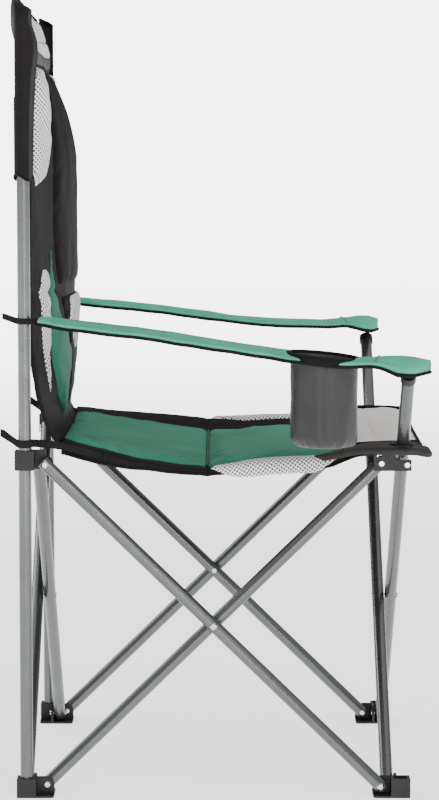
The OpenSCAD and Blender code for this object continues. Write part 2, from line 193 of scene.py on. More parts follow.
def noise_map(tree, place, scale, detail, **more):
    """Noise that stays with the object, with lumps about 1 / scale across."""
    made = node(tree, "ShaderNodeTexNoise", Scale=scale, Detail=detail, **more)
    link(tree, place, "Object", made, "Vector")
    return made


# A wave texture of this scale repeats once a metre
METRE_WAVE = 0.31416


def wave_map(tree, source, output, direction, pitch):
    """Rows across one direction, pitch metres apart."""
    made = node(tree, "ShaderNodeTexWave", bands_direction=direction, Scale=METRE_WAVE / pitch)
    link(tree, source, output, made, "Vector")
    return made


def crossed_waves(tree, source, output, pitch):
    """Heights where two sets of rows cross, such as warp and weft threads."""
    both = node(tree, "ShaderNodeMath", operation="MULTIPLY")
    for socket, direction in enumerate("XY"):
        link(tree, wave_map(tree, source, output, direction, pitch), "Fac", both, socket)
    return both


def scaled(color, factor):
    return tuple(min(c * factor, 1) for c in color)


def bump(tree, shader, source, output, strength, distance, below=None):
    made = node(tree, "ShaderNodeBump", Strength=strength, Distance=distance)
    link(tree, source, output, made, "Height")
    if below:
        link(tree, below, "Normal", made, "Normal")
    link(tree, made, "Normal", shader, "Normal")
    return made


def steel(name, color, roughness, metallic):
    """Painted or plated steel with faint flow marks and small scuffs."""
    material, tree, shader, place = new_material(name, color, roughness, metallic)
    marks = noise_map(tree, place, 38.0, 5.0, Roughness=0.6)
    tint(tree, shader, marks, "Fac", [
        (0.3, scaled(color, 0.93)), (0.55, color), (0.75, scaled(color, 1.08))])
    tint(tree, shader, marks, "Fac", [
        (0.25, (roughness * 1.15,) * 3), (0.7, (roughness * 0.9,) * 3)], "Roughness")
    bump(tree, shader, noise_map(tree, place, 900.0, 2.0), "Fac", 0.06, 0.0001)
    return material


def plastic(name, color, roughness):
    """Moulded plastic with a fine spark-eroded grain."""
    material, tree, shader, place = new_material(name, color, roughness)
    shader.inputs["Specular IOR Level"].default_value = 0.3
    haze = noise_map(tree, place, 45.0, 4.0)
    tint(tree, shader, haze, "Fac", [(0.35, color), (0.8, scaled(color, 1.9))])
    bump(tree, shader, noise_map(tree, place, 1400.0, 3.0), "Fac", 0.25, 0.0003)
    return material


def woven(name, color, roughness, pitch=0.0009, contrast=0.14, sheen=0.06, gloss=0.14):
    """Woven polyester: a thread bump, uneven dye and soft creases."""
    material, tree, shader, place = new_material(name, color, roughness)
    shader.inputs["Sheen Weight"].default_value = sheen
    shader.inputs["Sheen Roughness"].default_value = 0.45
    shader.inputs["Specular IOR Level"].default_value = gloss
    dye = noise_map(tree, place, 22.0, 6.0, Roughness=0.62)
    tint(tree, shader, dye, "Fac", [
        (0.3, scaled(color, 1 - contrast)), (0.7, scaled(color, 1 + contrast))])
    creases = noise_map(tree, place, 60.0, 4.0, Distortion=0.8)
    soft = bump(tree, shader, creases, "Fac", 0.22, 0.002)
    threads = crossed_waves(tree, place, "UV", pitch)
    bump(tree, shader, threads, "Value", 0.35, 0.0003, soft)
    return material


def air_mesh(name, color, hole_color, pitch=0.0046):
    """Spacer mesh: rows of small diamond holes in a pale knit."""
    material, tree, shader, place = new_material(name, color, 0.8)
    turn = node(tree, "ShaderNodeMapping")
    turn.inputs["Rotation"].default_value = (0, 0, math.radians(38))
    link(tree, place, "UV", turn, "Vector")
    holes = crossed_waves(tree, turn, "Vector", pitch)
    tint(tree, shader, holes, "Value", [
        (0.0, color), (0.17, color), (0.31, hole_color), (1.0, hole_color)])
    depth = node(tree, "ShaderNodeMath", operation="SUBTRACT")
    depth.inputs[0].default_value = 1.0
    link(tree, holes, "Value", depth, 1)
    bump(tree, shader, depth, "Value", 0.7, 0.0012)
    return material


def ribbed(name, color, pitch=0.0014):
    """Webbing tape: ribs across the tape, with painted shade in the rib troughs and a painted highlight on
    the rib crests.
    """
    material, tree, shader, place = new_material(name, color, 0.75)
    shader.inputs["Specular IOR Level"].default_value = 0.2
    ribs = wave_map(tree, place, "UV", "X", pitch)
    # Painted shade in the troughs and painted highlight on the crests, following the same rows as the bump
    tint(tree, shader, ribs, "Fac", [(0.2, scaled(color, 0.6)), (0.8, scaled(color, 1.5))])
    bump(tree, shader, ribs, "Fac", 0.6, 0.0005)
    return material


GREEN = (0.040, 0.225, 0.140)
BLACK = (0.0110, 0.0100, 0.0098)
tube_paint = steel("tube_paint", (0.130, 0.136, 0.138), 0.26, 0.80)
rivet_plate = steel("rivet_plate", (0.66, 0.66, 0.65), 0.24, 1.0)
black_plastic = plastic("black_plastic", (0.0110, 0.0110, 0.0112), 0.44)
green_cloth = woven("green_cloth", GREEN, 0.68)
# The back's green is the seat's green cloth darkened: painted shade on the upright back panels
back_green = woven("back_green", scaled(GREEN, 0.62), 0.68)
# The arms' green is the seat's green cloth lightened: painted light on the arm tops
arm_green_painted_light = woven("arm_green_painted_light", (0.068, 0.385, 0.250), 0.68)
seam_green = woven("seam_green", scaled(GREEN, 0.45), 0.7)
black_cloth = woven("black_cloth", BLACK, 0.62, sheen=0.0, gloss=0.08)
pocket_cloth = woven("pocket_cloth", (0.030, 0.0265, 0.0240), 0.6, sheen=0.0)
charcoal_cloth = woven("charcoal_cloth", (0.0068, 0.0056, 0.0052), 0.66, sheen=0.0, gloss=0.06)
grey_cloth = woven("grey_cloth", (0.050, 0.046, 0.043), 0.7)
light_cloth = woven("light_cloth", (0.66, 0.625, 0.60), 0.8, contrast=0.05)
light_mesh = air_mesh("light_mesh", (0.90, 0.87, 0.85), (0.10, 0.095, 0.092))
binding_tape = woven("binding_tape", (0.0050, 0.0046, 0.0046), 0.7, pitch=0.0007, sheen=0.0)
webbing_tape = ribbed("webbing_tape", (0.0075, 0.0072, 0.0072))
cup_cloth = woven("cup_cloth", (0.020, 0.020, 0.0205), 0.44, sheen=0.02, gloss=0.4)
thread = woven("thread", (0.075, 0.070, 0.066), 0.7)


# ---- mesh building ----

def add_object(name, data):
    made = bpy.data.objects.new(name, data)
    bpy.context.scene.collection.objects.link(made)
    return made


def build(name, verts, faces, material, uvs=None):
    mesh = bpy.data.meshes.new(name)
    mesh.from_pydata([tuple(v) for v in verts], [], faces)
    if uvs:
        layer = mesh.uv_layers.new(name="cloth")
        for loop in mesh.loops:
            layer.data[loop.index].uv = uvs[loop.vertex_index]
    tidy = bmesh.new()
    tidy.from_mesh(mesh)
    bmesh.ops.remove_doubles(tidy, verts=tidy.verts, dist=0.00002)
    bmesh.ops.recalc_face_normals(tidy, faces=tidy.faces)
    for face in tidy.faces:
        face.smooth = True
    tidy.to_mesh(mesh)
    tidy.free()
    mesh.materials.append(material)
    return add_object(name, mesh)


def grid_shell(name, top, bottom, material, uvs):
    """A closed shell between two grids of points with the same rows and columns."""
    rows, cols = len(top), len(top[0])
    verts = [p for row in top for p in row] + [p for row in bottom for p in row]
    below = rows * cols
    faces = []
    for i in range(rows - 1):
        for j in range(cols - 1):
            a = i * cols + j
            quad = (a, a + 1, a + cols + 1, a + cols)
            faces.append(quad)
            faces.append(tuple(below + k for k in reversed(quad)))
    rim = list(range(cols))
    rim += [i * cols + cols - 1 for i in range(1, rows)]
    rim += [(rows - 1) * cols + j for j in range(cols - 2, -1, -1)]
    rim += [i * cols for i in range(rows - 2, 0, -1)]
    for a, b in zip(rim, rim[1:] + rim[:1]):
        faces.append((b, a, a + below, b + below))
    return build(name, verts, faces, material, uvs + uvs)


def loft(name, rings, material, closed=False, low_end=True, high_end=True):
    """A skin over rings of (point, place on the cloth) pairs.

    closed joins the last ring to the first. Otherwise each end is flat or left open.
    """
    count, sides = len(rings), len(rings[0])
    faces = []
    for i in range(count if closed else count - 1):
        near, far = i * sides, (i + 1) % count * sides
        for k in range(sides):
            after = (k + 1) % sides
            faces.append((near + k, near + after, far + after, far + k))
    if low_end and not closed:
        faces.append(tuple(range(sides - 1, -1, -1)))
    if high_end and not closed:
        faces.append(tuple((count - 1) * sides + k for k in range(sides)))
    pairs = [pair for ring in rings for pair in ring]
    return build(name, [p for p, _ in pairs], faces, material, [uv for _, uv in pairs])


def apply_modifiers(piece):
    depsgraph = bpy.context.evaluated_depsgraph_get()
    mesh = bpy.data.meshes.new_from_object(
        piece.evaluated_get(depsgraph), preserve_all_data_layers=True, depsgraph=depsgraph)
    piece.modifiers.clear()
    piece.data = mesh


def subdivide(piece):
    piece.modifiers.new("smooth", "SUBSURF").levels = 1
    apply_modifiers(piece)
    return piece


def thicken(piece, thickness):
    wall = piece.modifiers.new("wall", "SOLIDIFY")
    wall.thickness = thickness
    wall.offset = -1
    apply_modifiers(piece)


def tangent_frames(points, closed):
    """Direction, side and up at each point of a path, carried along without twist."""
    count = len(points)
    frames = []
    side = None
    for i, p in enumerate(points):
        before = points[(i - 1) % count] if closed or i > 0 else p
        after = points[(i + 1) % count] if closed or i < count - 1 else p
        direction = (Vector(after) - Vector(before)).normalized()
        if side is None:
            helper = Vector((0, 0, 1)) if abs(direction.z) < 0.9 else Vector((1, 0, 0))
            side = direction.cross(helper).normalized()
        side = (side - direction * side.dot(direction)).normalized()
        frames.append((direction, side, side.cross(direction)))
    return frames


def run_lengths(points):
    """Distance along a path at each of its points."""
    runs = [0.0]
    for p, q in zip(points, points[1:]):
        runs.append(runs[-1] + (Vector(q) - Vector(p)).length)
    return runs


def tube(name, points, radius, material, closed=False, sides=8):
    """Round piping along a path, with its ends closed."""
    rings = []
    frames = tangent_frames(points, closed)
    for p, run, (_, side, up) in zip(points, run_lengths(points), frames):
        ring = []
        for angle in angles(sides):
            out = (side * math.cos(angle) + up * math.sin(angle)) * radius
            ring.append((Vector(p) + out, (run, radius * angle)))
        rings.append(ring)
    return loft(name, rings, material, closed)


def tape(name, points, height, thickness, material, tilt=None):
    """Flat webbing on edge along a path in plan: height is its width, standing up."""
    corner = thickness * 0.35
    across, shoulder = thickness / 2, height / 2 - corner
    section = [
        (across, shoulder), (across - corner, height / 2),
        (corner - across, height / 2), (-across, shoulder),
        (-across, -shoulder), (corner - across, -height / 2),
        (across - corner, -height / 2), (across, -shoulder)]
    rings = []
    frames = tangent_frames(points, False)
    for i, (p, run) in enumerate(zip(points, run_lengths(points))):
        flat = Vector((frames[i][0].x, frames[i][0].y, 0)).normalized()
        side, up = Vector((flat.y, -flat.x, 0)), Vector((0, 0, 1))
        if tilt:
            turn = Matrix.Rotation(tilt(i / (len(points) - 1)), 3, flat)
            side, up = turn @ side, turn @ up
        rings.append([(Vector(p) + side * x + up * z, (run, z)) for x, z in section])
    return loft(name, rings, material)


# A stitch is a small block with a narrower top: its corners and its faces
STITCH_CORNERS = [(-1, -1, 0), (1, -1, 0), (1, 1, 0), (-1, 1, 0),
                  (-0.7, -0.6, 1), (0.7, -0.6, 1), (0.7, 0.6, 1), (-0.7, 0.6, 1)]
STITCH_FACES = [(3, 2, 1, 0), (4, 5, 6, 7), (0, 1, 5, 4), (1, 2, 6, 5), (2, 3, 7, 6), (3, 0, 4, 7)]


def stitches(name, points, up, material, pitch=0.0042, length=0.0028, width=0.0007):
    """A row of separate stitches along a path, on a surface that faces up."""
    verts, faces = [], []
    up = Vector(up).normalized()
    run, nearest = 0.0, pitch / 2
    for a, b in zip(points, points[1:]):
        step = (b - a).length
        along = (b - a).normalized()
        side = along.cross(up)
        while step > 0 and nearest <= run + step:
            centre = a + along * (nearest - run) + up * width * 0.3
            first = len(verts)
            for x, y, z in STITCH_CORNERS:
                corner = along * x * length / 2 + side * y * width / 2 + up * z * width * 0.6
                verts.append(centre + corner)
            faces += [tuple(first + k for k in quad) for quad in STITCH_FACES]
            nearest += pitch
        run += step
    return build(name, verts, faces, material)


def point_and_normal(surface, across, along):
    """A surface's point and outward normal, for a function of two places on it."""
    step = 0.002
    point = surface(across, along)
    u = surface(across + step, along) - surface(across - step, along)
    v = surface(across, along + step) - surface(across, along - step)
    return point, u.cross(v).normalized()


PUFF_FRAMES = 20
PUFF_SETTINGS = {
    "vertex_group_mass": "rim", "quality": 6, "mass": 0.15, "tension_stiffness": 12,
    "compression_stiffness": 12, "shear_stiffness": 5, "bending_stiffness": 0.6,
    "shrink_min": -0.035, "use_pressure": True, "uniform_pressure_force": 4.0}


def rim_corners(piece):
    """The underside and the sewn rim of a pad: all that touches a face below its top."""
    rim = set()
    top_count = len(piece.data.vertices) // 2
    for polygon in piece.data.polygons:
        if any(i >= top_count for i in polygon.vertices):
            rim.update(polygon.vertices)
    return sorted(rim)


def puff(piece, cap):
    """Inflates a pad with its rim held, so that it crowns and puckers like sewn cloth.

    No point moves further than cap.
    """
    piece.vertex_groups.new(name="rim").add(rim_corners(piece), 1.0, "REPLACE")
    before = np.array([v.co for v in piece.data.vertices])
    cloth = piece.modifiers.new("cloth", "CLOTH")
    for key, value in PUFF_SETTINGS.items():
        setattr(cloth.settings, key, value)
    cloth.settings.effector_weights.gravity = 0
    cloth.collision_settings.use_collision = False
    scene = bpy.context.scene
    scene.frame_start, scene.frame_end = 1, PUFF_FRAMES
    for number in range(1, PUFF_FRAMES + 1):
        scene.frame_set(number)
    apply_modifiers(piece)
    scene.frame_set(1)
    move = np.array([v.co for v in piece.data.vertices]) - before
    far = np.linalg.norm(move, axis=1, keepdims=True)
    move *= np.minimum(1, cap / np.maximum(far, 1e-9))
    piece.data.vertices.foreach_set("co", (before + move).ravel())
    piece.vertex_groups.clear()
    piece.data.update()


def pad(name, surface, along, low, high, crown, material, columns=12, roll=0.014,
        end_roll=None, sink=0.0015, lift=0.0004):
    """A padded panel sewn onto a surface, between two edges given along its length.

    roll is how far in from its edges the panel reaches its full crown. end_roll gives
    that for its first and last end, and 0 leaves an end open.
    """
    top, bottom, uvs = [], [], []
    end_rolls = end_roll or (roll, roll)
    for b in along:
        a0, a1 = low(b), high(b)
        upper, lower = [], []
        for j in range(columns + 1):
            u = j / columns
            a = mix(a0, a1, u)
            point, normal = point_and_normal(surface, a, b)
            rounding = min(u, 1 - u) * abs(a1 - a0) / roll
            for gap, reach in zip((b - along[0], along[-1] - b), end_rolls):
                if reach:
                    rounding = min(rounding, gap / reach)
            rounding = min(max(rounding, 0), 1)
            height = crown * math.sqrt(1 - (1 - rounding) ** 2)
            upper.append(point + normal * (lift + height))
            lower.append(point - normal * sink)
        steps = [(q - p).length for p, q in zip(upper, upper[1:])]
        middle = sum(steps) / 2
        uvs += [(sum(steps[:j]) - middle, b) for j in range(columns + 1)]
        top.append(upper)
        bottom.append(lower)
    return grid_shell(name, top, bottom, material, uvs)


def place_soft(piece, body, keep=None):
    """Puts a piece on its body. With keep, it gets a mesh of its own."""
    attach(piece, body)
    if keep:
        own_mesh(piece)
    return piece


def sewn_pad(place, slot_name, values, fill=0.6, puffed=0.0, **shape):
    """A padded panel, made from pad's values, that may be puffed and is then smoothed."""
    piece = pad(*values, **shape)
    if puffed:
        puff(piece, puffed)
    subdivide(piece)
    place(piece, slot_name)


# ---- the frame's own parts ----

def finish_frame_parts():
    paints = {"frame_tube": tube_paint, "rivet_steel": rivet_plate, "black_plastic": black_plastic}
    slots = {part["node"]: part["material_slot"] for part in frame["record"]["subparts"]}
    for name, part in frame["nodes"].items():
        material = paints.get(slots.get(name))
        if not material:
            continue
        part.data.materials.clear()
        part.data.materials.append(material)
        part.data.shade_smooth()
        part.data.set_sharp_from_angle(angle=math.radians(32))


# ---- back ----

# Front face of the back along its middle and along its side edges, by height
back_middle = smooth_line([
    (0.480, -0.2120), (0.500, -0.2190), (0.530, -0.2265), (0.590, -0.2205), (0.640, -0.2185),
    (0.700, -0.2170), (0.890, -0.2175), (0.950, -0.2270), (1.010, -0.2490), (1.055, -0.2670),
    (1.085, -0.2805), (1.110, -0.2895), (1.140, -0.2985)])
back_side = smooth_line([
    (0.470, -0.198), (0.482, -0.214), (0.503, -0.230), (0.541, -0.246), (0.589, -0.256),
    (0.650, -0.2630), (0.870, -0.2630), (0.950, -0.2608), (1.005, -0.2580), (1.049, -0.2535),
    (1.085, -0.2630), (1.112, -0.2770)])
BACK_LOW_MIDDLE = 0.487
BACK_LOW_SIDE = 0.485
BACK_REAR_LIMIT = -0.2965
LEFT_LEAN = 0.010
BACK_TOP_SIDE = 1.108
BACK_CROWN = 0.025
PINCH_Z = 0.707


def back_surface(y, z):
    """Front face of the back panel, with its slack folds and sewn channels."""
    share = min(abs(y) / BACK_HALF_W, 1.0)
    x = mix(back_middle(z), back_side(z), share ** 2)
    x -= LEFT_LEAN * smoothstep(0.78, 1.08, z) * smoothstep(-0.2, 0.8, y / BACK_HALF_W)
    slack = smoothstep(1.0, 0.55, share)
    x += 0.0022 * ripple(0.3, y * 1.6, z * 0.55, 0.055) * (0.35 + 0.65 * slack)
    x += 0.0008 * ripple(2.3, y * 2.2, z, 0.018)
    x -= 0.0045 * math.exp(-((z - PINCH_Z) / 0.006) ** 2) * smoothstep(0.10, 0.16, abs(y))
    x -= 0.0020 * math.exp(-((z - 1.027) / 0.006) ** 2)
    return Vector((x, y, z))


def back_low(y):
    return mix(BACK_LOW_MIDDLE, BACK_LOW_SIDE, min(abs(y) / BACK_HALF_W, 1) ** 6)


def back_top(y):
    return BACK_TOP_SIDE + BACK_CROWN * (1 - min(abs(y) / BACK_HALF_W, 1) ** 2)


def back_piece(piece, slot_name):
    place_soft(piece, "right_rear_post", BACK_KEEP)


def make_back_shell():
    front, rear, uvs = [], [], []
    columns, rows = 56, 84
    for i in range(rows + 1):
        front_row, rear_row = [], []
        for j in range(columns + 1):
            y = BACK_HALF_W * math.sin((j / columns - 0.5) * math.pi)
            z = mix(back_low(y), back_top(y), i / rows)
            point, normal = point_and_normal(back_surface, y, z)
            share = abs(y) / BACK_HALF_W
            depth = mix(0.026, 0.004, share ** 3) * smoothstep(-0.02, 0.12, i / rows)
            depth = min(depth, 0.004 + 0.5 * max(back_top(y) - z, 0)) + 0.002
            depth += 0.006 * share ** 6 * math.exp(-((z - 0.862) / 0.045) ** 2)
            front_row.append(point)
            depth = max(min(depth, point.x - BACK_REAR_LIMIT), 0.002)
            rear_row.append(point - Vector((depth, 0, 0)))
            uvs.append((y, z))
        front.append(front_row)
        rear.append(rear_row)
    shell = grid_shell("back_shell", front, rear, black_cloth, uvs)
    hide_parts("backrest")
    back_piece(shell, "black_fabric")
    edge = [back_surface(y, back_top(y)) - Vector((0.002, 0, 0))
            for y in span(-BACK_HALF_W, BACK_HALF_W, 60)]
    back_piece(tube("back_top_binding", edge, 0.0028, binding_tape), "black_fabric")
    foot = [back_surface(y, back_low(y)) - Vector((0.003, 0, 0))
            for y in [BACK_HALF_W * math.sin(a) for a in span(-math.pi / 2, math.pi / 2, 80)]]
    back_piece(tube("back_foot_binding", foot, 0.0026, binding_tape), "black_fabric")


# Panels on each side of the back: name, heights, edges as (height, distance
# from the middle), crown, cloth and slot
BACK_PANELS = [
    ("green_lower", [(0.522, 0.078), (0.565, 0.066), (0.607, 0.062), (0.640, 0.082), (0.676, 0.132),
                     (0.720, 0.158), (0.768, 0.1712)],
     [(0.522, 0.082), (0.545, 0.126), (0.580, 0.156), (0.615, 0.172), (0.680, 0.1745), (0.768, 0.1718)],
     0.0050, back_green, "green_fabric"),
    ("mesh_lower", [(0.566, 0.1880), (0.600, 0.1800), (0.640, 0.1770), (0.700, 0.1790),
                    (0.730, 0.1830), (0.741, 0.1960)],
     [(0.566, 0.1895), (0.600, 0.2020), (0.640, 0.2080), (0.700, 0.2130), (0.730, 0.2135), (0.741, 0.2040)],
     0.0042, light_mesh, "light_mesh"),
    ("mesh_upper", [(0.858, 0.2280), (0.880, 0.1960), (0.930, 0.1830), (0.975, 0.1800),
                    (1.010, 0.1700), (1.024, 0.1860)],
     [(0.858, 0.2300), (0.880, 0.2370), (0.930, 0.2370), (0.975, 0.2350), (1.008, 0.2300), (1.024, 0.2080)],
     0.0090, light_mesh, "light_mesh"),
    ("green_upper", [(0.928, 0.1740), (0.955, 0.1655), (0.985, 0.1560), (1.012, 0.1380), (1.022, 0.1450)],
     [(0.928, 0.1755), (0.955, 0.1780), (0.985, 0.1760), (1.012, 0.1650), (1.022, 0.1600)],
     0.0035, back_green, "green_fabric"),
]


def make_back_panels():
    for label, inner, outer, crown, material, slot_name in BACK_PANELS:
        first, last = inner[0][0], inner[-1][0]
        heights = span(first, last, max(16, int((last - first) / 0.006)))
        for side in (RIGHT, LEFT):
            ends = [on_side(smooth_line(line), side) for line in (inner, outer)]
            low, high = ends if side == LEFT else ends[::-1]
            values = (f"back_{label}_{SIDE_NAMES[side]}", back_surface, heights, low, high, crown, material)
            sewn_pad(back_piece, slot_name, values, puffed=crown * 0.5, columns=14)


# Padded middle of the back: name, first and last height and number of rows, half width
# by height, crown, cloth, slot, columns, how far in the edge rolls, and the rolls at the ends
MIDDLE_HALF = [(0.535, 0.050), (0.600, 0.052), (0.660, 0.096), (0.720, 0.140), (0.800, 0.160),
               (0.930, 0.160), (0.985, 0.148), (1.020, 0.128)]
HEAD_ROLL = 0.004
HEAD_ENDS = (0.0025, 0.0025)
MIDDLE_PANELS = [
    ("back_middle_lower", (0.535, 0.6985, 26), MIDDLE_HALF, 0.0030, charcoal_cloth, "black_fabric",
     34, 0.014, None),
    ("back_middle_upper", (0.7155, 1.0195, 48), MIDDLE_HALF, 0.0030, charcoal_cloth, "black_fabric",
     34, 0.014, None),
    ("head_band", (1.0290, 1.0478, 6), [(1.029, 0.214), (1.048, 0.222)], 0.0030, grey_cloth, "black_fabric",
     40, HEAD_ROLL, HEAD_ENDS),
    ("head_strip", (1.0482, 1.0718, 6), [(1.048, 0.222), (1.072, 0.226)], 0.0030, light_cloth, "light_mesh",
     40, HEAD_ROLL, HEAD_ENDS),
    ("head_mesh", (1.0722, 1.1120, 12), [(1.072, 0.226), (1.095, 0.226), (1.112, 0.170)], 0.0045, light_mesh,
     "light_mesh", 40, HEAD_ROLL, HEAD_ENDS),
]
LUMBAR_HALF = [(0.614, 0.004), (0.632, 0.048), (0.660, 0.082), (0.690, 0.080), (0.697, 0.070)]


def lumbar_surface(y, z):
    """Face of the padded middle, which the lumbar mesh is sewn to."""
    return back_surface(y, z) + Vector((0.0034, 0, 0))


def make_back_middle():
    """Padded middle: charcoal cloth, the head rest's bands and a lumbar mesh panel."""
    for name, heights, half, crown, material, slot_name, columns, roll, end_roll in MIDDLE_PANELS:
        ends = [on_side(smooth_line(half), side) for side in (RIGHT, LEFT)]
        values = (name, back_surface, span(*heights), *ends, crown, material)
        sewn_pad(back_piece, slot_name, values, puffed=crown * 0.6,
                 columns=columns, roll=roll, end_roll=end_roll)
    ends = [on_side(smooth_line(LUMBAR_HALF), side) for side in (RIGHT, LEFT)]
    values = ("back_lumbar_mesh", lumbar_surface, span(0.614, 0.697, 16), *ends, 0.0045, light_mesh)
    sewn_pad(back_piece, "light_mesh", values, columns=24, sink=0.002)


# ---- sleeves over the uprights ----

SLEEVE_SEAM_Z = 0.985
SLEEVE_HEM_Z = 0.870
SLEEVE_TIP_Z = 1.1125
SLEEVE_GAP = 0.0022


def sleeve_front(z, side):
    """How far forward a sleeve reaches: it is sewn to the side of the back."""
    lean = LEFT_LEAN * smoothstep(0.78, 1.08, z) if side == LEFT else 0
    return max(back_side(z) + 0.0015 - lean, POST_X + TUBE_R + 0.0035)


def make_sleeve(side):
    rows, columns = 64, 40
    rings = []
    for i in range(rows + 1):
        z = mix(SLEEVE_HEM_Z, SLEEVE_TIP_Z, i / rows)
        near_top = smoothstep(SLEEVE_TIP_Z + 0.001, SLEEVE_TIP_Z - 0.012, z)
        swell = 1 + 0.10 * smoothstep(SLEEVE_SEAM_Z + 0.004, SLEEVE_SEAM_Z - 0.006, z)
        swell -= 0.07 * math.exp(-((z - SLEEVE_SEAM_Z) / 0.004) ** 2)
        half = (TUBE_R + SLEEVE_GAP) * swell
        rear = POST_X - half
        front = mix(rear + 0.002, sleeve_front(z, side), near_top)
        shut = smoothstep(SLEEVE_TIP_Z, POST_TOP + 0.004, z)
        ring = []
        for k, angle in enumerate(angles(columns)):
            forward = (1 + math.cos(angle)) / 2
            x = mix(rear, front, forward)
            thin = mix(half, 0.0050, smoothstep(0.84, 1.0, forward)) * mix(0.30, 1, shut)
            y = math.sin(angle)
            y = math.copysign(abs(y) ** 0.75, y) * thin * mix(0.5, 1, near_top)
            lean = mix(0, BACK_HALF_W + 0.001 - POST_Y, smoothstep(0.82, 1.0, forward)) * side
            fold = 1 + 0.07 * (1 + ripple(k * 0.02, z, side, 0.030)) * near_top
            hem_wave = 0.004 * math.sin(angle * 2) * (i == 0)
            point = Vector((x, side * POST_Y + lean + y * fold, z + hem_wave))
            ring.append((point, (angle * 0.012, z)))
        rings.append(ring)
    name = SIDE_NAMES[side]
    sleeve = loft(f"{name}_sleeve", rings, black_cloth, low_end=False)
    thicken(sleeve, 0.0012)
    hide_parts(f"{name}_back_sleeve")
    hem_path = [point + Vector((0, 0, 0.001)) for point, _ in rings[0]]
    hem = tube(f"{name}_sleeve_hem", hem_path, 0.0015, binding_tape, closed=True)
    for piece in (sleeve, hem):
        place_soft(piece, f"{name}_rear_post")


# ---- seat ----

SEAT_ROUND = 0.006
LIP_X = 0.222
LIGHT_X = 0.176

# Heights of the seat's right and left edges and its thickness, by place along it:
# the sling hangs a little lower on the right
seat_right = smooth_line([
    (-0.232, 0.503), (-0.170, 0.487), (-0.098, 0.4700), (-0.017, 0.4615), (0.040, 0.4680),
    (0.080, 0.4720), (0.150, 0.4750), (0.200, 0.4880), (0.292, 0.4900)])
seat_left = smooth_line([
    (-0.232, 0.508), (-0.188, 0.5035), (-0.110, 0.4970), (-0.003, 0.4890), (0.108, 0.4920),
    (0.170, 0.5000), (0.214, 0.5065), (0.292, 0.5075)])
seat_thickness = smooth_line([
    (-0.232, 0.0150), (-0.170, 0.0165), (-0.098, 0.0090), (-0.010, 0.0065), (0.040, 0.0090),
    (0.080, 0.0100), (0.140, 0.0100), (0.176, 0.0085), (0.292, 0.0080)])
# How far the seat hangs below the line between its edges
seat_hollow = smooth_line([
    (-0.232, 0.0040), (-0.187, 0.0070), (-0.110, 0.0110), (-0.023, 0.0135), (0.108, 0.0115),
    (0.176, 0.0060), (0.292, 0.0030)])


def seat_surface(y, x):
    """Top of the seat, which hangs between its edges."""
    share = min(max(y / SEAT_HALF_W, -1.05), 1.05)
    z = mix(seat_right(x), seat_left(x), (share + 1) / 2)
    z -= seat_hollow(x) * smoothstep(-1.0, 0.3, share) * smoothstep(1.0, 0.72, share)
    z += 0.0014 * ripple(x * 0.9, y * 1.2, 4.1, 0.050) + 0.0007 * ripple(x, y * 2, 7.7, 0.016)
    z -= 0.0016 * math.exp(-((x - SEAM_X) / 0.006) ** 2)
    return Vector((x, y, z))


def seat_half_width(x):
    """The seat narrows in front, where the corner pieces take over its edges."""
    return mix(SEAT_HALF_W + 0.006, 0.208, smoothstep(0.150, 0.215, x))


def seat_wrap(a, x):
    """The seat's cover, across its top and on down its sides, by distance along the cloth."""
    edge = seat_half_width(x) - SEAT_ROUND
    past = abs(a) - edge
    if past <= 0:
        return seat_surface(a, x)
    point = seat_surface(math.copysign(edge, a), x)
    turn = min(past / SEAT_ROUND, math.pi / 2)
    straight = max(past - SEAT_ROUND * math.pi / 2, 0)
    point.y += math.copysign(SEAT_ROUND * math.sin(turn), a)
    point.z -= SEAT_ROUND * (1 - math.cos(turn)) + straight
    return point


def seat_cloth_half(x):
    """Half of the cover's width at a place along the seat, sides included."""
    side_face = max(seat_thickness(x) - SEAT_ROUND, 0)
    return seat_half_width(x) + SEAT_ROUND * (math.pi / 2 - 1) + side_face


def seat_up(a, x):
    """The seat's cover as pads need it, with the right side first and its normal upwards."""
    return seat_wrap(-a, x)


def seat_piece(body, piece, slot_name):
    place_soft(piece, body, SEAT_KEEP)


def make_seat_shell(name, x0, x1, body, node_name):
    top, bottom, uvs = [], [], []
    columns, rows = 60, max(8, int((x1 - x0) / 0.006))
    for x in span(x0, x1, rows):
        half = seat_cloth_half(x)
        upper, lower = [], []
        for j in range(columns + 1):
            a = half * math.sin((j / columns - 0.5) * math.pi)
            point = seat_wrap(a, x)
            flat = seat_surface(point.y, x)
            upper.append(point)
            lower.append(Vector((x, point.y * 0.985, flat.z - seat_thickness(x) - 0.0006)))
            uvs.append((a, x))
        top.append(upper)
        bottom.append(lower)
    shell = grid_shell(name, top, bottom, black_cloth, uvs)
    if node_name:
        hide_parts(node_name)
    seat_piece(body, shell, "black_fabric")
    for side in (RIGHT, LEFT):
        edge = [seat_wrap(side * seat_cloth_half(x), x) for x in span(x0, x1, rows)]
        edge = [p - Vector((0, side * 0.0012, 0.0010)) for p in edge]
        binding = tube(f"{name}_binding_{SIDE_NAMES[side]}", edge, 0.0027, binding_tape)
        seat_piece(body, binding, "black_fabric")


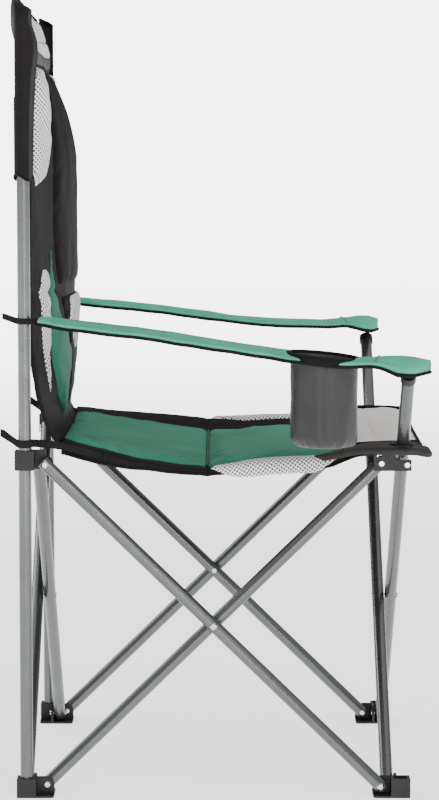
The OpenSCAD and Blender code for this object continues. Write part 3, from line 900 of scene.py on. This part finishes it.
# Panels across the seat: name, first and last place, distance of the left and the
# right edge from the middle by place, the rolls at the ends, body, cloth and slot
SEAT_PANELS = [
    ("seat_green_rear", SEAT_X0 - 0.006, SEAM_X - 0.0008,
     [(SEAT_X0 - 0.006, 0.166), (SEAT_X0 + 0.022, 0.170), (-0.100, 0.170), (SEAM_X, 0.170)],
     [(SEAT_X0 - 0.006, 0.192), (SEAT_X0 + 0.022, 0.203), (-0.100, 0.205), (SEAM_X, 0.207)],
     (0.012, 0.004), "seat_rear", green_cloth, "green_fabric"),
    ("seat_green_front", SEAM_X + 0.0008, LIGHT_X - 0.0004,
     [(SEAM_X, 0.170), (0.060, 0.168), (LIGHT_X, 0.176)],
     [(SEAM_X, 0.207), (0.060, 0.205), (0.130, 0.203), (LIGHT_X, 0.200)],
     (0.004, 0.003), "seat_front", green_cloth, "green_fabric"),
    ("seat_light_front", LIGHT_X + 0.0004, LIP_X + 0.002,
     [(LIGHT_X, 0.190), (LIP_X, 0.194)], [(LIGHT_X, 0.200), (LIP_X, 0.186)],
     (0.003, 0), "seat_front", light_cloth, "light_mesh"),
    ("seat_light_lip", LIP_X - 0.002, SEAT_X1 - 0.009,
     [(LIP_X, 0.194), (SEAT_X1, 0.180)], [(LIP_X, 0.186), (SEAT_X1, 0.176)],
     (0, 0.012), "right_front_bracket", light_cloth, "light_mesh"),
]


def make_seat():
    make_seat_shell("seat_rear_shell", SEAT_X0 - 0.008, SEAM_X + SEAM_LAP, "seat_rear", "seat_rear")
    make_seat_shell("seat_front_shell", SEAM_X - SEAM_LAP, LIP_X + SEAM_LAP, "seat_front", "seat_front")
    make_seat_shell("seat_lip_shell", LIP_X - SEAM_LAP, SEAT_X1 - 0.004, "right_front_bracket", None)
    for name, x0, x1, left, right, end_roll, body, material, slot_name in SEAT_PANELS:
        places = span(x0, x1, max(8, int((x1 - x0) / 0.007)))
        low, high = on_side(smooth_line(left), RIGHT), smooth_line(right)
        values = (name, seat_up, places, low, high, 0.0045, material)
        sewn_pad(partial(seat_piece, body), slot_name, values, fill=0.5, puffed=0.004,
                 columns=44, roll=0.016, end_roll=end_roll)
    make_side_mesh()
    make_front_piping()
    seam = [seat_surface(y, SEAM_X) + Vector((0, 0, 0.0022)) for y in span(-0.205, 0.168, 60)]
    seat_piece("seat_front", tube("seat_cross_seam", seam, 0.0017, seam_green), "green_fabric")


def make_side_mesh():
    """Mesh insets along the edges of the seat, in front of the cross seam."""
    first, last = SEAM_X + 0.005, 0.166
    inner = smooth_line([(first, 0.220), (0.012, 0.214), (0.045, 0.206), (0.130, 0.205), (last, 0.222)])
    outer = smooth_line([(first, 0.224), (0.012, 0.238), (0.045, 0.244), (0.130, 0.244), (last, 0.226)])
    for side in (RIGHT, LEFT):
        ends = (inner, outer) if side == RIGHT else (on_side(outer, RIGHT), on_side(inner, RIGHT))
        values = (f"seat_mesh_{SIDE_NAMES[side]}", seat_up, span(first, last, 34), *ends, 0.0040, light_mesh)
        sewn_pad(partial(seat_piece, "seat_front"), "light_mesh", values,
                 columns=14, roll=0.010, end_roll=(0.02, 0.02))


def make_front_piping():
    """Black piping on both edges of the light front section."""
    first, last = 0.182, 0.284
    distance = smooth_line([(first, 0.196), (LIP_X, 0.197), (last, 0.186)])
    for label, x0, x1, body in (
            ("front", first, LIP_X, "seat_front"), ("lip", LIP_X, last, "right_front_bracket")):
        for side in (RIGHT, LEFT):
            path = [seat_surface(side * distance(x), x) + Vector((0, 0, 0.0040)) for x in span(x0, x1, 12)]
            piping = tube(f"seat_{label}_piping_{SIDE_NAMES[side]}", path, 0.0030, binding_tape)
            seat_piece(body, piping, "black_fabric")


# ---- seat corners at the front ----

def rounded_outline(corners, radius, steps=6):
    """A polygon in plan with every corner rounded."""
    points = []
    count = len(corners)
    for i, corner in enumerate(corners):
        here = Vector(corner)
        before = (Vector(corners[i - 1]) - here)
        after = (Vector(corners[(i + 1) % count]) - here)
        cut = min(radius, before.length * 0.45, after.length * 0.45)
        start, end = here + before.normalized() * cut, here + after.normalized() * cut
        for k in range(steps + 1):
            t = k / steps
            points.append(start * (1 - t) ** 2 + here * 2 * t * (1 - t) + end * t * t)
    return points


# Half of a corner pocket's section: how far each ring shrinks to the middle, and its height
CORNER_LAYERS = [(0.12, 0.0), (0.6, 0.0), (0.965, 0.0), (1.0, 0.22), (1.0, 0.72), (0.975, 0.94),
                 (0.90, 1.0), (0.55, 1.06), (0.12, 1.08)]
CORNER_INNER_Y = 0.196


def nose_dip(x):
    """How far a corner pocket bends down towards the front edge."""
    return 0.006 * smoothstep(0.262, 0.300, x)


def tube_distance(side, z):
    """How far from the middle an arm tube is at a height."""
    leg = frame["nodes"]["front_leg_outer" if side == RIGHT else "front_leg_inner"]
    points = [v.co for v in leg.data.vertices]
    low_end = min(points, key=lambda c: c.z)
    high_end = max(points, key=lambda c: c.z)
    return abs(mix(low_end.y, high_end.y, (z - low_end.z) / (high_end.z - low_end.z)))


def make_seat_corner(side):
    """Black corner pocket over a front bracket, with a grommet for the arm tube."""
    name = SIDE_NAMES[side]
    body = f"{name}_front_bracket"
    lo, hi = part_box(f"{name}_seat_corner")
    base_z, top_z = lo.z + 0.0003, hi.z + 0.0005
    inner_y, outer_y = CORNER_INNER_Y, max(abs(lo.y), abs(hi.y)) + 0.002
    corners = [(0.128, 0.2235), (0.150, 0.2150), (0.205, inner_y), (0.272, inner_y - 0.006),
               (0.296, inner_y + 0.012), (0.296, outer_y - 0.014), (0.284, outer_y), (0.226, outer_y),
               (0.190, 0.2500), (0.150, 0.2340)]
    outline = rounded_outline([(x, side * y) for x, y in corners], 0.010)
    centre = Vector((sum(p.x for p in outline) / len(outline), sum(p.y for p in outline) / len(outline)))
    rings = []
    for shrink, height in CORNER_LAYERS:
        ring = []
        for p in outline:
            q = centre + (p - centre) * shrink
            droop = -0.017 * smoothstep(0.225, 0.128, q.x) - nose_dip(q.x)
            swell = 0.0012 * ripple(q.x, q.y, 3.0, 0.03) * (height > 0.5)
            z = mix(base_z, top_z, height) + droop + swell
            ring.append((Vector((q.x, q.y, z)), (q.x, q.y)))
        rings.append(ring)
    corner = loft(f"{name}_corner_pocket", rings, pocket_cloth)
    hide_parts(f"{name}_seat_corner")
    place_soft(corner, body)
    hole = Vector((box_middle(f"{name}_arm_tube_cap")[0],
                   side * tube_distance(side, (base_z + top_z) / 2), top_z + 0.0022))
    for label, radius, thick in (("grommet", 0.0135, 0.0022), ("eyelet", 0.0168, 0.0011)):
        circle = [hole + Vector((radius * math.cos(a), radius * 1.15 * math.sin(a), 0)) for a in angles(40)]
        made = tube(f"{name}_{label}", circle, thick, black_plastic, closed=True)
        place_soft(made, body)
    for number, grow in enumerate((0.92, 0.84, 0.76)):
        path = [centre + (p - centre) * grow for p in outline if p.x > 0.215]
        line = [Vector((q.x, q.y, top_z + 0.0016 - nose_dip(q.x))) for q in path]
        made = stitches(f"{name}_corner_stitch_{number}", line, (0, 0, 1), thread)
        place_soft(made, body)


# ---- webbing around the uprights ----

def strap_tilt(t):
    """How far a strap leans over, along its length."""
    return 0.5 * math.sin(t * 2.4) - 0.25


def make_strap(name, node_name, side, body, z, height, inward, tail, drop=0.0):
    """Webbing round an upright: from inward, round the tube, to a sewn tail behind."""
    radius = TUBE_R + 0.0017
    post = Vector((POST_X, side * POST_Y, z))
    start = Vector((*inward, z))
    toward = (start - post).normalized()
    around = math.atan2(toward.y, toward.x)
    approach = post + spoke(around, radius * 1.5)
    end = post + Vector(tail)
    points = []
    for t in span(0, 1, 8)[:-1]:
        points.append(start.lerp(approach, t) - Vector((0, 0, drop * (1 - t) ** 1.5)))
    near_turn = (2 * math.pi - around) % (2 * math.pi) - math.pi
    points += [post + spoke(around + near_turn * t, radius) for t in span(0.18, 0.88, 12)]
    last = points[-1]
    points += [last.lerp(end, t) for t in span(0, 1, 6)[1:]]
    strap = tape(name, points, height, 0.0022, webbing_tape, strap_tilt)
    far_turn = near_turn - math.copysign(2 * math.pi, near_turn)
    others = []
    for t in span(-0.25, 0.88, 14):
        reach = radius if t > 0 else radius * mix(1, 1.6, -t / 0.25)
        others.append(post + spoke(around + far_turn * max(t, 0), reach))
    others.append(end + Vector((0.004, -0.002 * side, -0.001)))
    second = tape(f"{name}_return", others, height * 0.96, 0.0020, webbing_tape)
    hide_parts(node_name)
    for piece in (strap, second):
        place_soft(piece, body)


def make_straps(side):
    """The arm's and the seat's webbing round one upright."""
    name = SIDE_NAMES[side]
    origin, along = arm_frame(side)[:2]
    arm_start = origin + along * (ARM_START + 0.012)
    make_strap(f"{name}_arm_webbing", f"{name}_arm_loop", side, f"{name}_arm_loop",
               box_middle("right_arm_loop")[2], 0.0085, arm_start.xy, (-0.030, 0, 0.007))
    make_strap(f"{name}_seat_webbing", f"{name}_seat_strap", side, f"{name}_collar",
               box_middle("right_seat_strap")[2], 0.011, (SEAT_X0 + 0.050, side * (SEAT_HALF_W + 0.006)),
               (-0.034, 0, 0.016), drop=0.022)


# ---- arms ----

def arm_frame(side):
    """Origin at the upright, direction along the arm, direction outwards, and length."""
    name = SIDE_NAMES[side]
    cap_x, cap_y, _ = box_middle(f"{name}_arm_tube_cap")
    cap_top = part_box(f"{name}_arm_tube_cap")[1].z
    origin = Vector((POST_X, side * POST_Y, box_middle(f"{name}_arm_loop")[2]))
    tip = Vector((cap_x, side * abs(cap_y), cap_top + 0.0060))
    along = tip - origin
    length = along.length
    along.normalize()
    outward = Vector((along.y, -along.x, 0)).normalized()
    if outward.y * side < 0:
        outward = -outward
    return origin, along, outward, length


ARM_T = 0.010
ARM_START = 0.022
ARM_SPLIT = 0.62
CUP_SAG = 0.0075
ARM_OVERHANG = {RIGHT: 0.030, LEFT: 0.018}
TIP_DEPTH = {RIGHT: 0.0075, LEFT: 0.0050}
TIP_LIFT = {RIGHT: 0.0005, LEFT: 0.0090}
CUP_BACK = 0.117
arm_half_width = smooth_line([(0.0, 0.011), (0.03, 0.015), (0.075, 0.033), (0.32, 0.033)])


def arm_half(s, length, side):
    plain = arm_half_width(s)
    end = length + ARM_OVERHANG[side]
    if side == RIGHT:
        cup_s = length - CUP_BACK
        wide = 0.0515 * math.sqrt(max(0, 1 - ((s - cup_s) / 0.080) ** 2))
        plain = max(plain, wide)
    plain = mix(plain, 0.039, smoothstep(length - 0.030, length + 0.006, s))
    return plain * math.sqrt(max(0.02, min(1, 1 - (max(0, s - (end - 0.036)) / 0.0365) ** 2)))


def arm_bodies(side):
    name = SIDE_NAMES[side]
    return f"{name}_arm_rear", f"{name}_arm_front"


def arm_blend(piece, side):
    origin, along, _, length = arm_frame(side)
    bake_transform(piece)


def arm_height(s, u, length, side):
    """Height of the arm's top over its own line, at a place across from -1 to 1."""
    crown = 0.0042 * (1 - u * u)
    tip = smoothstep(length - 0.050, length - 0.004, s)
    drape = -0.0085 * tip * abs(u) ** 2.5 - 0.0015 * abs(u) ** 3
    lump = 0.0030 * math.exp(-((s - length) / 0.018) ** 2) * (1 - u * u)
    fold = 0.0010 * ripple(s, u * 0.03, side, 0.035) + 0.0016 * tip * ripple(s, u * 0.04, 5.0, 0.022)
    sag = smoothstep(0.25 * length, 0.72 * length, s) * smoothstep(length - 0.012, length - 0.080, s)
    lift = TIP_LIFT[side] * smoothstep(0.55 * length, length, s)
    return ARM_T / 2 + crown + drape + lump + fold + lift - CUP_SAG * sag


def make_arm(side):
    name = SIDE_NAMES[side]
    origin, along, outward, length = arm_frame(side)
    end = length + ARM_OVERHANG[side]
    up = outward.cross(along)
    if up.z < 0:
        up = -up
    stations = span(ARM_START, end, 110)

    def top_point(s, u):
        across = outward * u * arm_half(s, length, side)
        return origin + along * s + across + up * arm_height(s, u, length, side)

    def low_point(s, u):
        pocket = smoothstep(length - 0.040, length - 0.006, s)
        pocket *= smoothstep(end + 0.004, length + 0.012, s)
        depth = 0.0080 + 0.0020 * (1 - u * u) + pocket * TIP_DEPTH[side] * (1 - 0.6 * u * u)
        return top_point(s, u) - up * depth * mix(0.35, 1, smoothstep(end, end - 0.022, s))

    def between(s, u, share):
        return top_point(s, u).lerp(low_point(s, u), share)

    for label, first, last, material, slot_name in (
            ("top", 0, ARM_SPLIT, arm_green_painted_light, "green_fabric"),
            ("lining", ARM_SPLIT + 0.02, 1, black_cloth, "black_fabric")):
        upper, lower, uvs = [], [], []
        for s in stations:
            places = span(-1, 1, 20)
            upper.append([between(s, u, first) for u in places])
            lower.append([between(s, u, last) for u in places])
            uvs += [(s, u * arm_half(s, length, side)) for u in places]
        piece = grid_shell(f"{name}_arm_{label}", upper, lower, material, uvs)
        if label == "top":
            subdivide(piece)
        if side == RIGHT:
            cut_cup_hole(piece)
        if label == "top":
            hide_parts(*arm_bodies(side))
        arm_blend(piece, side)
    edge = [between(s, -1, 0.72) for s in stations]
    edge += [between(s, 1, 0.72) for s in reversed(stations)]
    arm_blend(tube(f"{name}_arm_binding", edge, 0.0023, binding_tape, closed=True), side)
    seam = [top_point(length - 0.042, u) + up * 0.0002 for u in span(-0.96, 0.96, 20)]
    arm_blend(tube(f"{name}_arm_tip_seam", seam, 0.0011, green_cloth), side)
    for label, u in (("inner", -0.90), ("outer", 0.90)):
        row = [top_point(s, u) for s in stations[4:-8]]
        arm_blend(stitches(f"{name}_arm_stitch_{label}", row, up, arm_green_painted_light), side)


# ---- cup holder ----

CUP_X, CUP_Y, cup_ring_z = box_middle("cup_ring")
CUP_R = 0.0460
CUP_CORNER = 0.014
CUP_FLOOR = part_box("cup_holder")[0].z - 0.003
CUP_RIM = cup_ring_z - 0.0105
CUP_KEEP = 0.45
CUP_COLUMNS = 96
# Section of the binding round the rim: distance out from the wall, and height
CUP_RIM_SECTION = [(-0.0010, -0.005), (-0.0012, 0.0018), (0.0008, 0.0034), (0.0045, 0.0034),
                   (0.0078, 0.0020), (0.0084, -0.0045), (0.0070, -0.0085), (0.002, -0.0085)]


def cut_cup_hole(piece):
    radius = CUP_R + 0.0012
    place = Matrix.Translation((CUP_X, CUP_Y, CUP_RIM))
    mesh = bmesh.new()
    bmesh.ops.create_cone(mesh, cap_ends=True, segments=72, radius1=radius, radius2=radius,
                          depth=0.12, matrix=place)
    cutter_mesh = bpy.data.meshes.new("cutter")
    mesh.to_mesh(cutter_mesh)
    mesh.free()
    cutter = add_object("cutter", cutter_mesh)
    cut = piece.modifiers.new("cut", "BOOLEAN")
    cut.operation = "DIFFERENCE"
    cut.object = cutter
    cut.solver = "EXACT"
    apply_modifiers(piece)
    bpy.data.objects.remove(cutter)


def cup_place(angle, reach):
    """A place round the cup's middle, in plan."""
    return CUP_X + reach * math.cos(angle), CUP_Y + reach * math.sin(angle)


def rim_height(x, y):
    """Height of the tilted rim over a place in plan."""
    along = arm_frame(RIGHT)[1]
    flat = Vector((along.x, along.y, 0))
    slope = along.z / flat.length
    return CUP_RIM + slope * ((x - CUP_X) * flat.x + (y - CUP_Y) * flat.y) / flat.length


def cup_piece(piece):
    place_soft(piece, "right_arm_front", CUP_KEEP)


def cup_wall_ring(v):
    """One ring of the cup's wall, from 0 at its floor to 1 at its rim, with its creases."""
    low = smoothstep(0.16, 0.0, v)
    bend = max(1 - v * (CUP_RIM - CUP_FLOOR) / CUP_CORNER, 0)
    ring = []
    for angle in angles(CUP_COLUMNS):
        radius = CUP_R - CUP_CORNER * (1 - math.sqrt(1 - bend ** 2))
        radius -= 0.0014 * math.exp(-((angle - 4.62) / 0.09) ** 2)
        radius -= 0.0009 * math.exp(-((angle - 5.15 + 0.5 * v) / 0.06) ** 2)
        fold = ripple(math.cos(angle) * 0.05, math.sin(angle) * 0.05, v * 0.060, 0.020)
        radius += 0.0024 * fold * (0.45 + low) * smoothstep(1.0, 0.85, v)
        radius += 0.0009 * math.sin(angle * 17) * low
        x, y = cup_place(angle, radius)
        z = mix(CUP_FLOOR + 0.001, rim_height(x, y) - 0.001, v)
        ring.append((Vector((x, y, z)), (angle * CUP_R, z)))
    return ring


def make_cup():
    """Hanging cup of coated cloth: a sewn cylinder that creases above its floor."""
    wall = [cup_wall_ring(t ** 1.5) for t in span(0, 1, 40)]
    floor = []
    for shrink in (0.1, 0.4, 0.75):
        ring = []
        for p, _ in wall[0]:
            x, y = mix(CUP_X, p.x, shrink), mix(CUP_Y, p.y, shrink)
            ring.append((Vector((x, y, CUP_FLOOR + 0.0006)), (p.x, p.y)))
        floor.append(ring)
    cup = loft("cup_bag", floor + wall, cup_cloth, high_end=False)
    thicken(cup, 0.0014)
    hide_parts("cup_holder")
    cup_piece(cup)
    x, y = cup_place(2.2, CUP_R + 0.0006)
    seam = [Vector((x, y, mix(CUP_FLOOR, rim_height(x, y), v))) for v in span(0.05, 0.97, 24)]
    cup_piece(tube("cup_seam", seam, 0.0011, binding_tape))
    rings = []
    for angle in angles(CUP_COLUMNS):
        ring = []
        for out, high in CUP_RIM_SECTION:
            x, y = cup_place(angle, CUP_R + out)
            ring.append((Vector((x, y, rim_height(x, y) + high)), (angle * CUP_R, out)))
        rings.append(ring)
    rim = subdivide(loft("cup_rim_binding", rings, binding_tape, closed=True))
    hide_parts("cup_ring")
    cup_piece(rim)


# ---- floor, light and camera ----

NEAR_GLOW = 1.40
BACKDROP = 5.6
FAR_GLOW = BACKDROP - 0.8
GLOW_START = 1.4
GLOW_END = 9.0
LOW_LIGHT = 0.32
HIGH_LIGHT = 1.10
FLOOR_HALF = 14.0


def make_stage():
    """A pale floor that glows brighter further away, where it meets the backdrop."""
    paper, tree, shader, place = new_material("studio_paper", (0.78, 0.78, 0.78), 0.9)
    shader.inputs["Specular IOR Level"].default_value = 0.15
    shader.inputs["Emission Color"].default_value = (1, 1, 1, 1)
    reach = node(tree, "ShaderNodeVectorMath", operation="LENGTH")
    link(tree, place, "Object", reach, 0)
    glow = node(tree, "ShaderNodeMapRange", interpolation_type="SMOOTHSTEP", From_Min=GLOW_START,
                From_Max=GLOW_END, To_Min=NEAR_GLOW, To_Max=FAR_GLOW)
    link(tree, reach, "Value", glow, "Value")
    link(tree, glow, "Result", shader, "Emission Strength")
    corners = [(x * FLOOR_HALF, y * FLOOR_HALF, 0) for x, y in ((-1, -1), (1, -1), (1, 1), (-1, 1))]
    mesh = bpy.data.meshes.new("floor")
    mesh.from_pydata(corners, [], [(0, 1, 2, 3)])
    mesh.materials.append(paper)
    add_object("floor", mesh)


def make_world():
    """A white backdrop, and softer light from all round that is stronger from above."""
    world = bpy.data.worlds.new("studio")
    bpy.context.scene.world = world
    world.use_nodes = True
    tree = world.node_tree
    light = tree.nodes["Background"]
    place = node(tree, "ShaderNodeTexCoord")
    parts = node(tree, "ShaderNodeSeparateXYZ")
    link(tree, place, "Generated", parts, "Vector")
    tint(tree, light, parts, "Z", [
        (0.0, (LOW_LIGHT,) * 3), (0.25, (LOW_LIGHT,) * 3), (0.9, (HIGH_LIGHT,) * 3)], "Color")
    backdrop = node(tree, "ShaderNodeBackground", Color=(1, 1, 1, 1), Strength=BACKDROP)
    path = node(tree, "ShaderNodeLightPath")
    both = node(tree, "ShaderNodeMixShader")
    link(tree, path, "Is Camera Ray", both, 0)
    link(tree, light, "Background", both, 1)
    link(tree, backdrop, "Background", both, 2)
    link(tree, both, "Shader", tree.nodes["World Output"], "Surface")


def area_light(name, location, target, size, power):
    lamp = bpy.data.lights.new(name, "AREA")
    lamp.shape = "RECTANGLE"
    lamp.size, lamp.size_y = size
    lamp.energy = power
    made = add_object(name, lamp)
    made.location = location
    made.rotation_euler = (Vector(target) - Vector(location)).to_track_quat("-Z", "Y").to_euler()


CAMERA_PLACE = (-0.0007, -4.0994, 0.9172)
CAMERA_DOWN = 5.295
CAMERA_LENS = 124.4


def make_camera():
    """Level with the chair's side and looking a little down."""
    data = bpy.data.cameras.new("camera")
    data.sensor_width = 36.0
    data.lens = CAMERA_LENS
    data.clip_end = 60
    camera = add_object("camera", data)
    camera.location = CAMERA_PLACE
    camera.rotation_euler = (math.radians(90 - CAMERA_DOWN), 0, 0)
    bpy.context.scene.camera = camera


make_camera()
make_stage()
make_world()
area_light("key", (1.6, -3.4, 3.2), (0, 0, 0.6), (2.4, 2.4), 70)
area_light("rim", (-2.6, 1.2, 2.2), (0, 0, 0.7), (0.8, 2.6), 40)
area_light("strip", (0.5, -3.0, 1.0), (0, 0, 0.5), (0.25, 2.4), 20)

finish_frame_parts()
make_back_shell()
make_back_panels()
make_back_middle()
for side in (RIGHT, LEFT):
    make_sleeve(side)
    make_seat_corner(side)
    make_arm(side)
make_seat()
make_cup()

for side in (RIGHT, LEFT):
    make_straps(side)
